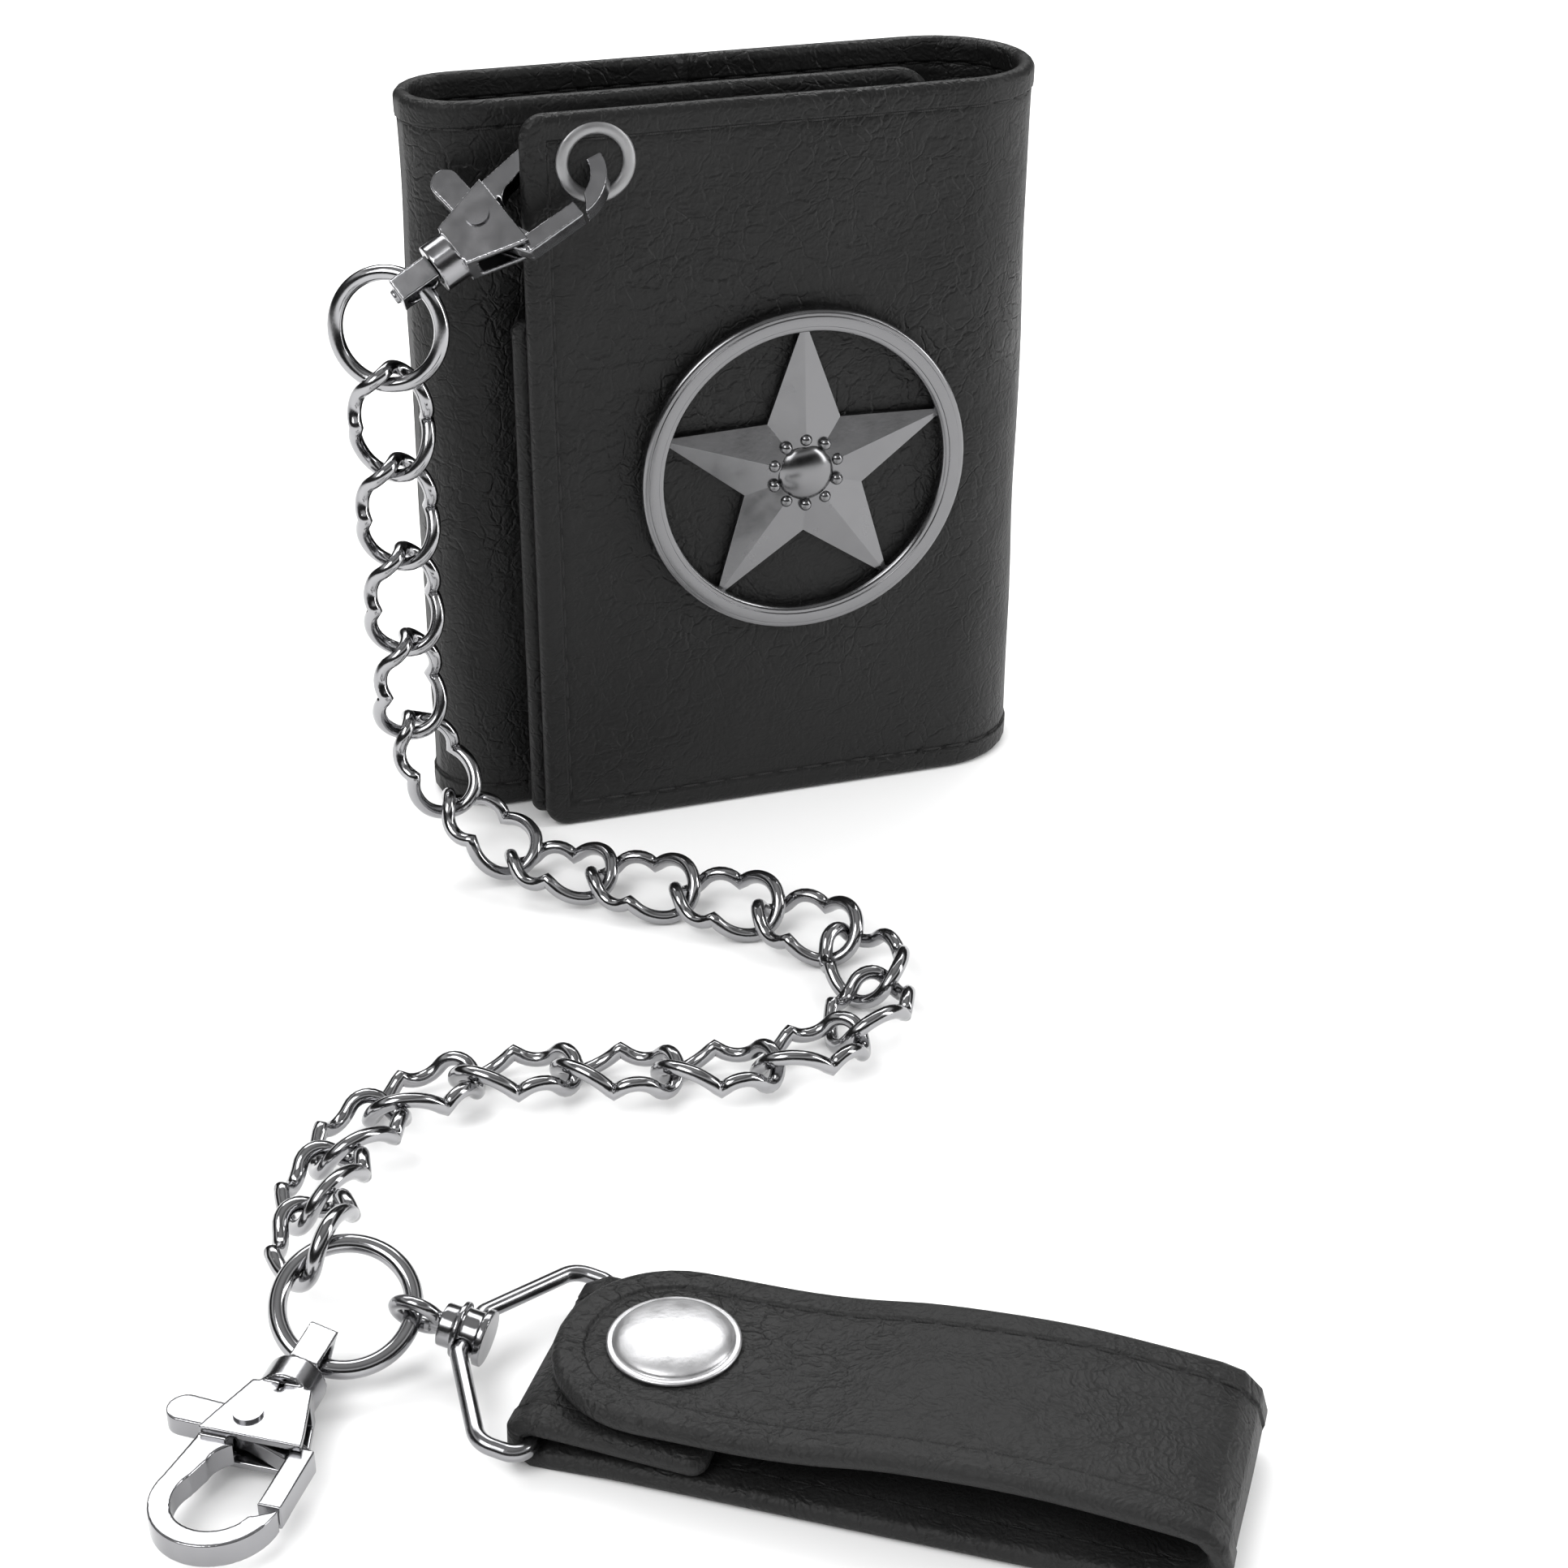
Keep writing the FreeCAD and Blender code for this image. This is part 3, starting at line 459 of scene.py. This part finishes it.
MID = LEATHER / 2
path_a = shifted(join_paths(
    straight(Vector((FLAP_EDGE_X, -FOLD_R + MID, 0)), Vector((RIGHT_X, -FOLD_R + MID, 0)), (0, -1, 0), 24),
    arc_path(Vector((RIGHT_X, 0, 0)), FOLD_R - MID, -90, 0)))
path_b = shifted(join_paths(
    arc_path(Vector((RIGHT_X, 0, 0)), FOLD_R - MID, 0, 90),
    straight(Vector((RIGHT_X, FOLD_R - MID, 0)), Vector((BACK_SPLIT_X, FOLD_R - MID, 0)), (0, 1, 0))))
path_c = shifted(join_paths(
    straight(Vector((BACK_SPLIT_X, FOLD_R - MID, 0)), Vector((LEFT_X, FOLD_R - MID, 0)), (0, 1, 0)),
    arc_path(Vector((LEFT_X, LEFT_Y, 0)), LEFT_R - MID, 90, 180)))
path_d = shifted(join_paths(
    arc_path(Vector((LEFT_X, LEFT_Y, 0)), LEFT_R - MID, 180, 270),
    straight(Vector((LEFT_X, INNER_Y + MID, 0)), Vector((INNER_END_X, INNER_Y + MID, 0)), (0, -1, 0), 24)))


def wallet_point(x, y, z=55.0):
    return ORIGIN + Vector((x, y, z)) * MM


COVERS = (
    ("cover_front", path_a, True, False, ("front_panel", "right_spine"), ("front_cover", "right_spine"),
     wallet_point(RIGHT_X - 4, -FOLD_R), wallet_point(RIGHT_X + 6, -FOLD_R)),
    ("cover_back_right", path_b, False, False, ("right_spine", "back_panel"), ("back_cover",),
     wallet_point(RIGHT_X + 6, FOLD_R), wallet_point(RIGHT_X - 4, FOLD_R)),
    ("cover_back_left", path_c, False, False, ("back_panel", "left_spine"), ("left_spine",),
     wallet_point(LEFT_X + 4, FOLD_R), wallet_point(LEFT_X - 5, FOLD_R)),
    ("cover_inner_flap", path_d, False, True, ("left_spine", "inner_flap"), ("inner_flap",),
     wallet_point(LEFT_X - 5, INNER_Y), wallet_point(LEFT_X + 4, INNER_Y)),
)
INNER_CORNER_R, COVER_HEM, COVER_BAND, COVER_WAVE = 6.0, 0.3, 0.28, 0.5
for name, path, free_start, free_end, pair, replaced, start, end in COVERS:
    corner = CORNER_R if free_start else INNER_CORNER_R
    leather = Sheet(path, UP, WALLET_H, LEATHER - COVER_HEM, COVER_BAND, corner,
                    free_start, free_end, COVER_WAVE)
    skin = make_object(name, leather.mesh(), WALLET_SKIN)
    seams = bmesh.new()
    for side in (1, -1):
        lo = GROOVE if free_start else 0
        hi = leather.total - (GROOVE if free_end else 0)
        for w in (GROOVE, WALLET_H - GROOVE):
            leather.stitches(seams, lo, hi, w, side)
        for free, inset in ((free_start, GROOVE), (free_end, leather.total - GROOVE)):
            if free:
                leather.stitches(seams, GROOVE, WALLET_H - GROOVE, None, side, inset=inset)
    thread = make_object(name + "_stitches", seams, THREAD)
    for obj in (skin, thread):
        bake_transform(obj)
    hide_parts(*replaced)

POCKETS = (
    ("front_card_pocket", "front_panel", WALLET_SKIN, "black_leather", (-1, 0)),
    ("inner_card_pocket", "inner_flap", WALLET_SKIN, "black_leather", (-1, 0)),
    ("bill_pocket_lining", "back_panel", LINING, "lining", (1, 0)),
)
for node, body, material, slot_name, facing in POCKETS:
    low, high = (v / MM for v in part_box(node))
    middle_y = (low.y + high.y) / 2
    run = straight(Vector((low.x, middle_y, low.z)), Vector((high.x, middle_y, low.z)), (0, facing[0], 0), 10)
    pocket = Sheet(run, UP, high.z - low.z, high.y - low.y - 0.5, 0.2, 2.0, True, True, 0.0)
    obj = make_object(node + "_leather", pocket.mesh(), material)
    finish_piece(obj, body, (node,))

# ---------------------------------------------------------------- badge and eyelet
badge_low, badge_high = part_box("emblem_badge")
badge_centre = (badge_low + badge_high) / 2
face = basis((badge_centre.x, badge_high.y, badge_centre.z), (1, 0, 0), (0, 0, 1))
BADGE_R = (badge_high.x - badge_low.x) / 2
BADGE_T = badge_high.y - badge_low.y
RING_W = 3.4 * MM


def rounded_profile(r0, r1, z0, z1, edge, steps=5):
    """Closed profile of a flat ring whose edges are rounded."""
    out = []
    for cx, cz, start in ((r1 - edge, z1 - edge, 90), (r1 - edge, z0 + edge, 0), (r0 + edge, z0 + edge, -90),
                          (r0 + edge, z1 - edge, -180)):
        for i in range(steps + 1):
            a = math.radians(start - 90 * i / steps)
            out.append((cx + edge * math.cos(a), cz + edge * math.sin(a)))
    return out


badge = bmesh.new()
lathe(badge, face, rounded_profile(BADGE_R - RING_W, BADGE_R, 0, BADGE_T, 0.7 * MM))
RIDGE_INSET = 0.9 * MM
lathe(badge, face, rounded_profile(BADGE_R - RING_W + RIDGE_INSET, BADGE_R - RIDGE_INSET,
                                   BADGE_T - 0.5 * MM, BADGE_T + 0.18 * MM, 0.17 * MM))
TIP_R = BADGE_R - 0.5 * RING_W
NOTCH_R = 9.6 * MM
STAR_EDGE_T = 1.0 * MM


def star_corners(height):
    """The star's ten corners, tips and notches in turn, at a height above the badge's foot."""
    corners = []
    for i, r in enumerate([TIP_R, NOTCH_R] * 5):
        angle = math.radians(36 * i)
        corners.append(badge.verts.new(face @ Vector((r * math.sin(angle), r * math.cos(angle), height))))
    return corners


star_top = star_corners(STAR_EDGE_T)
star_low = star_corners(0)
apex = badge.verts.new(face @ Vector((0, 0, BADGE_T + 0.2 * MM)))
badge.faces.new(star_low)
for i in range(10):
    k = (i + 1) % 10
    badge.faces.new((star_low[i], star_low[k], star_top[k], star_top[i]))
    badge.faces.new((star_top[i], star_top[k], apex))
badge_obj = make_object("badge", badge, BADGE_METAL, smooth=False)
bevel = badge_obj.modifiers.new("soft_edges", "BEVEL")
bevel.width = 0.22 * MM
bevel.segments = 3
bevel.limit_method = "ANGLE"
bevel.angle_limit = math.radians(15)
for polygon in badge_obj.data.polygons:
    polygon.use_smooth = len(polygon.vertices) == 4
finish_piece(badge_obj, "front_panel", ("emblem_badge",))

boss = bmesh.new()
BOSS_R = 4.4 * MM
dome = [(0, BADGE_T + 1.3 * MM)]
for i in range(1, 13):
    a = math.radians(90 * i / 12)
    dome.append((BOSS_R * math.sin(a), BADGE_T - 0.9 * MM + 2.2 * MM * math.cos(a)))
dome += [(BOSS_R, 0.2 * MM), (0, 0.2 * MM)]
lathe(boss, face, dome, 64)
for k in range(10):
    a = math.radians(36 * k + 18)
    centre = Vector((math.cos(a), math.sin(a), 0)) * (BOSS_R + 0.7 * MM)
    pearl = Matrix.Translation(face @ (centre + Vector((0, 0, BADGE_T - 0.45 * MM)))) @ face.to_3x3().to_4x4()
    bmesh.ops.create_icosphere(boss, subdivisions=3, radius=0.95 * MM, matrix=pearl)
boss_obj = make_object("badge_boss", boss, BADGE_METAL)
finish_piece(boss_obj, "front_panel")

eye_low, eye_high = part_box("eyelet")
eye_centre = (eye_low + eye_high) / 2
EYE_R = (eye_high.x - eye_low.x) / 2
hole = 3.85 * MM
eye_face = basis((eye_centre.x, eye_low.y + 0.5 * MM, eye_centre.z), (1, 0, 0), (0, 0, 1))
eye = bmesh.new()
lathe(eye, eye_face, [(EYE_R, 0.0), (EYE_R, 0.15 * MM), (EYE_R - 0.25 * MM, 0.4 * MM),
                      (EYE_R - 0.8 * MM, 0.55 * MM), (hole + 0.5 * MM, 0.5 * MM),
                      (hole + 0.12 * MM, 0.3 * MM), (hole, 0.0), (hole, -2.7 * MM),
                      (hole + 0.4 * MM, -2.7 * MM), (hole + 0.4 * MM, 0.0)])
eye_obj = make_object("eyelet_ring", eye, EYELET_METAL)
finish_piece(eye_obj, "front_panel", ("eyelet",))


# ---------------------------------------------------------------- chain
def biarc(p0, t0, p1, t1):
    """Two arcs, tangent to each other, from p0 along t0 to p1 along t1: their starts, tangents and ends."""
    v = p1 - p0
    bend = 2 * (1 - t0.dot(t1))
    along = v.dot(t0 + t1)
    d = (math.sqrt(along ** 2 + bend * v.dot(v)) - along) / bend
    q0, q1 = p0 + t0 * d, p1 - t1 * d
    return (p0, t0, (q0 + q1) / 2), ((q0 + q1) / 2, (q1 - q0).normalized(), p1)


def arc_points(p, t, q, count=9):
    chord = q - p
    n = (chord - t * chord.dot(t)).normalized()
    r = chord.dot(chord) / (2 * chord.dot(n))
    angle = 2 * math.atan2(chord.dot(n), chord.dot(t))
    return [p + n * r - n * r * math.cos(angle * i / count) + t * r * math.sin(angle * i / count)
            for i in range(count)]


# link and ring wires, as in the CAD
LINK_L, LINK_W, LINK_WIRE_R = 7.9, 5.1, 1.0
RING_R, RING_WIRE_R = 7.7, 1.1
LINK_TURN = math.radians(110) / 2
LINK_SLOPE = math.radians(50)


def link_line():
    """Closed centre line of one twisted link, in millimetres, long axis X."""
    line = []
    for end, s in ((1, 1), (-1, 1), (-1, -1), (1, -1)):
        tip = Vector((end * LINK_L, 0, 0))
        leave = Vector((0, s * math.cos(LINK_TURN), end * s * math.sin(LINK_TURN)))
        side = Vector((0, s * LINK_W, 0))
        arrive = Vector((-end * math.cos(LINK_SLOPE), 0, -s * math.sin(LINK_SLOPE)))
        quarter = []
        for piece in biarc(tip, leave, side, arrive):
            quarter += arc_points(*piece)
        quarter.append(side)
        line += quarter[:-1] if end * s > 0 else list(reversed(quarter))[:-1]
    return line


def node_points(node):
    return np.array([v.co for v in frame["nodes"][node].data.vertices], float)


def best_frame(node):
    """Centre and principal axes of a CAD node, longest first."""
    points = node_points(node)
    centre = (points.min(0) + points.max(0)) / 2
    axes = np.linalg.svd(points - points.mean(0), full_matrices=False)[2]
    return centre, [Vector(a) for a in axes]


LINE = link_line()
link_names = sorted(n for n in frame["nodes"] if n.startswith("chain_link_"))
link_joints = [Vector(JOINTS[n[len("chain_"):] + "_swing"]["pos_m"]) for n in link_names]
link_joints.append(Vector(JOINTS["lower_ring_turn"]["pos_m"]))
line_array = np.array(LINE) * MM
for index, node in enumerate(link_names):
    centre, _ = best_frame(node)
    points = node_points(node) - centre
    along = Vector(np.linalg.svd(points, full_matrices=False)[2][0])
    if along.dot(link_joints[index + 1] - link_joints[index]) < 0:
        along = -along
    best = None
    for k in range(180):
        roll = Matrix.Rotation(math.radians(k), 3, along) @ along.orthogonal()
        turned = np.array(basis((0, 0, 0), along, roll).to_3x3())
        placed_line = line_array @ turned.T
        gap = np.sqrt(((points[::7, None, :] - placed_line[None, ::3, :]) ** 2).sum(2)).min(1).max()
        if best is None or gap < best[0]:
            best = (gap, roll)
    turn = basis(centre, along, best[1])
    wire = bmesh.new()
    tube(wire, [turn @ (p * MM) for p in LINE], LINK_WIRE_R * MM, 16)
    finish_piece(make_object(node + "_wire", wire, NICKEL), BODY_OF[node], (node,))

for node in ("top_ring", "lower_ring"):
    centre, axes = best_frame(node)
    ring = bmesh.new()
    turn = basis(centre, axes[0], axes[1])
    tube(ring, [turn @ (Vector((math.cos(a), math.sin(a), 0)) * RING_R * MM)
                for a in np.linspace(0, 2 * math.pi, 72, endpoint=False)], RING_WIRE_R * MM, 18)
    finish_piece(make_object(node + "_wire", ring, NICKEL), BODY_OF[node], (node,))

# CAD pieces that stay as they are; the cast ones get softened edges
CAST_PARTS = ("clasp_hook", "lever", "swivel_eye", "swivel_barrel", "swivel_link")
CAST_GRID = 0.14 * MM
for node, obj in frame["nodes"].items():
    if obj.hide_render:
        continue
    for polygon in obj.data.polygons:
        polygon.use_smooth = True
    obj.data.materials.clear()
    metal = SNAP_METAL if node.startswith("snap") else CLASP_METAL
    if node == "eyelet_washer":
        metal = EYELET_METAL
    obj.data.materials.append(metal)
    if any(part in node for part in CAST_PARTS):
        cast = obj.modifiers.new("cast", "REMESH")
        cast.mode = "VOXEL"
        cast.voxel_size = CAST_GRID
        cast.use_smooth_shade = True
        worn = obj.modifiers.new("worn_edges", "SMOOTH")
        worn.factor = 0.5
        worn.iterations = 9

# ---------------------------------------------------------------- strap
bar = JOINTS["strap_on_bar"]
SIDE = Vector(bar["axis"])
AHEAD = SIDE.cross(UP)
BAR_X, FOLD_Z, BEND_X, BEND_R, STRAP_W, STRAP_T = 2.2, 3.0, 73.0, 5.4, 27.0, 2.6
SNAP_X, SNAP_R, FLAP_Z = 14.3, 7.5, 9.6
bar_at = Vector(bar["pos_m"])
STRAP_ORIGIN = Vector((bar_at.x, bar_at.y, 0)) - AHEAD * BAR_X * MM


def strap_point(x, z, y=0.0):
    return STRAP_ORIGIN + (AHEAD * x + SIDE * y + UP * z) * MM


def strap_path(points):
    """Path with normals from (x, z) pairs in the strap's side view; normals point to its left hand."""
    out = []
    for i, (x, z) in enumerate(points):
        before, after = points[max(0, i - 1)], points[min(len(points) - 1, i + 1)]
        run = Vector((after[0] - before[0], after[1] - before[1])).normalized()
        normal = AHEAD * -run[1] + UP * run[0]
        out.append((strap_point(x, z, -STRAP_W / 2) / MM, normal))
    return out


def curve_through(points, steps=8):
    """Catmull-Rom line through (x, z) pairs."""
    out = []
    count = len(points)
    for i in range(count - 1):
        p0, p1, p2, p3 = (Vector(points[max(0, i - 1)]), Vector(points[i]), Vector(points[i + 1]),
                          Vector(points[min(count - 1, i + 2)]))
        for k in range(steps):
            t = k / steps
            out.append(tuple(0.5 * ((2 * p1) + (p2 - p0) * t + (2 * p0 - 5 * p1 + 4 * p2 - p3) * t * t
                                    + (3 * p1 - p0 - 3 * p2 + p3) * t ** 3)))
    out.append(tuple(points[-1]))
    return out


def round_points(cx, cz, r, start, end, steps=12):
    return [(cx + r * math.cos(math.radians(start + (end - start) * i / steps)),
             cz + r * math.sin(math.radians(start + (end - start) * i / steps))) for i in range(steps + 1)]


fold_mid = 2.2
base_line = curve_through([(22.0, 4.0), (15.0, 4.4), (8.0, 4.9), (BAR_X, FOLD_Z + fold_mid)], 6)[:-1]
base_line += round_points(BAR_X, FOLD_Z, fold_mid, 90, 270)
base_line += [(BAR_X + (BEND_X - BAR_X) * i / 24, 0.8 + 0.5 * min(1, i / 3)) for i in range(1, 24)]
bend_mid = BEND_R - STRAP_T / 2
base_line += round_points(BEND_X, BEND_R, bend_mid, -90, 0)
flap_line = round_points(BEND_X, BEND_R, bend_mid, 0, 90)
flap_line += curve_through([(BEND_X, BEND_R + bend_mid), (66.0, 10.2), (58.0, 10.75), (50.0, 10.7),
                            (41.0, 10.1), (33.0, 8.9), (26.0, 8.35), (18.0, 8.3),
                            (SNAP_X - STRAP_W / 2, 8.3)])[1:]
STRAPS = (
    ("strap_lower", base_line, False, False, 2.0, None),
    ("strap_upper", flap_line, False, True, STRAP_W / 2 - 0.3, ("strap", "strap_flap")),
)
for name, line, free_start, free_end, corner, pair in STRAPS:
    leather = Sheet(strap_path(line), SIDE, STRAP_W, STRAP_T - 0.35, 0.16, corner,
                    free_start or name == "strap_lower", free_end, 0.25)
    skin = make_object(name, leather.mesh(), STRAP_SKIN)
    seams = bmesh.new()
    for side in (1, -1):
        for w in (GROOVE, STRAP_W - GROOVE):
            leather.stitches(seams, 3.0, leather.total - (STRAP_W / 2 if free_end else 1), w, side, 3.4, 2.5)
    thread = make_object(name + "_stitches", seams, THREAD)
    for obj in (skin, thread):
        if pair:
            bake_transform(obj)
        else:
            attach(obj, "strap")
    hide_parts("strap_flap" if pair else "strap_base")

cap = bmesh.new()
cap_frame = basis(strap_point(SNAP_X, FLAP_Z), AHEAD, SIDE)
rise = 1.5
profile = [(0.0, 0.55 + rise)]
for i in range(1, 15):
    a = math.radians(90 * i / 14)
    profile.append((6.7 * math.sin(a), 0.55 + rise * math.cos(a)))
profile += [(6.95, 0.42), (7.25, 0.5), (SNAP_R, 0.35), (SNAP_R, 0.1), (7.2, -0.1), (0.0, -0.1)]
lathe(cap, cap_frame, [(r * MM, z * MM) for r, z in profile])
cap_obj = make_object("snap_cap_dome", cap, SNAP_METAL)
finish_piece(cap_obj, "strap_flap", ("snap_cap",))

# ---------------------------------------------------------------- floor, light, camera
floor = bmesh.new()
bmesh.ops.create_grid(floor, x_segments=1, y_segments=1, size=6.0)
floor_mat, _, _, floor_shader = new_material("pale_floor")
floor_shader.inputs["Base Color"].default_value = (0.9, 0.9, 0.9, 1)
floor_shader.inputs["Roughness"].default_value = 0.9
floor_shader.inputs["Specular IOR Level"].default_value = 0.1
floor_obj = make_object("floor", floor, floor_mat)
floor_obj.location.z = -0.0001
floor_obj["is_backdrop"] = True

scene = bpy.context.scene
world = bpy.data.worlds.new("studio")
scene.world = world
world.use_nodes = True
wn, wl = world.node_tree.nodes, world.node_tree.links
wn.clear()
out = wn.new("ShaderNodeOutputWorld")
plain = add(wn, "ShaderNodeBackground", Strength=1.0)
plain.inputs["Color"].default_value = (1, 1, 1, 1)
seen = add(wn, "ShaderNodeBackground", Strength=1.0)
direction = wn.new("ShaderNodeTexCoord").outputs["Generated"]
split = wn.new("ShaderNodeSeparateXYZ")
wl.new(direction, split.inputs[0])
SKY_BANDS = [(0.0, 0.25), (0.12, 0.02), (0.45, 0.03), (0.62, 0.9), (0.8, 0.15), (1.0, 0.5)]
bands = ramp(wn, wl, split.outputs["Z"], SKY_BANDS)
wl.new(bands, seen.inputs["Color"])
rays = wn.new("ShaderNodeLightPath")
pick = wn.new("ShaderNodeMixShader")
wl.new(rays.outputs["Is Glossy Ray"], pick.inputs[0])
wl.new(plain.outputs[0], pick.inputs[1])
wl.new(seen.outputs[0], pick.inputs[2])
wl.new(pick.outputs[0], out.inputs["Surface"])


def soft_light(name, place, target, size, power):
    data = bpy.data.lights.new(name, "AREA")
    data.shape = "RECTANGLE"
    data.size, data.size_y = size
    data.energy = power
    light = bpy.data.objects.new(name, data)
    scene.collection.objects.link(light)
    light.location = place
    light.rotation_euler = (Vector(target) - Vector(place)).to_track_quat("-Z", "Y").to_euler()


soft_light("key", (-0.55, -0.35, 0.75), (0, 0, 0.04), (0.5, 0.5), 4.5)
soft_light("right_strip", (0.7, -0.25, 0.35), (0, 0, 0.05), (0.15, 0.6), 2.5)
soft_light("back_top", (0.1, 0.55, 0.7), (0, 0, 0.06), (0.9, 0.35), 5.0)

CAM_PLACE = Vector((-116.5, -381.8, 211.9)) * MM
YAW, PITCH, ROLL = math.radians(-18.27), math.radians(28.49), math.radians(0.27)
camera_data = bpy.data.cameras.new("camera")
camera = bpy.data.objects.new("camera", camera_data)
scene.collection.objects.link(camera)
back = Vector((math.sin(YAW) * math.cos(PITCH), -math.cos(YAW) * math.cos(PITCH), math.sin(PITCH)))
right = Vector((math.cos(YAW), math.sin(YAW), 0))
turn = basis(ORIGIN + CAM_PLACE, right, back.cross(right))
camera.matrix_world = turn @ Matrix.Rotation(ROLL, 4, "Z")
camera_data.sensor_width = 36
camera_data.lens = 64.59
camera_data.clip_start = 0.01
camera_data.clip_end = 20
scene.camera = camera
scene.view_settings.view_transform = "Standard"

low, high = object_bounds()
